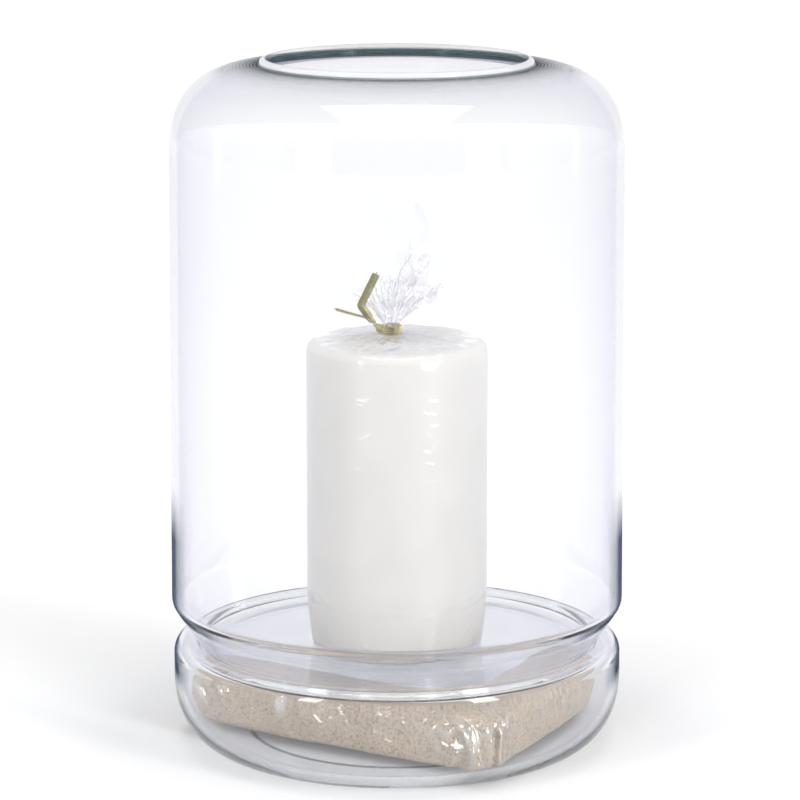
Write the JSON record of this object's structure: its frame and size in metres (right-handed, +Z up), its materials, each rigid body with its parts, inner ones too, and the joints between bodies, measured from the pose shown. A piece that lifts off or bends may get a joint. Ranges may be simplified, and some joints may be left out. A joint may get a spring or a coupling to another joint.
{
  "type": "hurricane candle lantern",
  "caption": "Clear glass hurricane lantern: a round-shouldered open vessel seated on a low glass bowl, with a wrapped pillar candle inside and a bag of sand in the bowl.",
  "frame": {"origin": "centre of the base bowl's foot, on the surface it stands on", "axes": "+Z up along the glass's axis of revolution; -Y is the front, where the bag's pleated corner points; +X is the front's right"},
  "size_m": [0.1762, 0.1762, 0.2684],
  "materials": {
    "clear_glass": "polished",
    "candle_wax": "satin wax",
    "cotton_wick": "braided",
    "clear_film": "glossy",
    "gold_film": "metallised",
    "tie_wire": "drawn",
    "dry_sand": "fine grains"
  },
  "bodies": {
    "base": {"base_bowl": "clear_glass"},
    "bag": {"sand_bag": "clear_film", "sand_fill": "dry_sand"},
    "vessel": {"hurricane_vessel": "clear_glass"},
    "candle": {"candle_wax": "candle_wax", "candle_wick": "cotton_wick", "candle_wrap": "clear_film", "twist_tie_strip": "gold_film", "twist_tie_wire": "tie_wire"}
  },
  "joints": [
    {"name": "vessel_lift", "type": "slide", "parent": "base", "child": "vessel", "axis": [0, 0, 1], "range_m": [0, 0.1]},
    {"name": "candle_lift", "type": "slide", "parent": "vessel", "child": "candle", "axis": [0, 0, 1], "range_m": [0, 0.235]},
    {"name": "bag_lift", "type": "slide", "parent": "base", "child": "bag", "axis": [0, 0, 1], "range_m": [0, 0.004]}
  ]
}
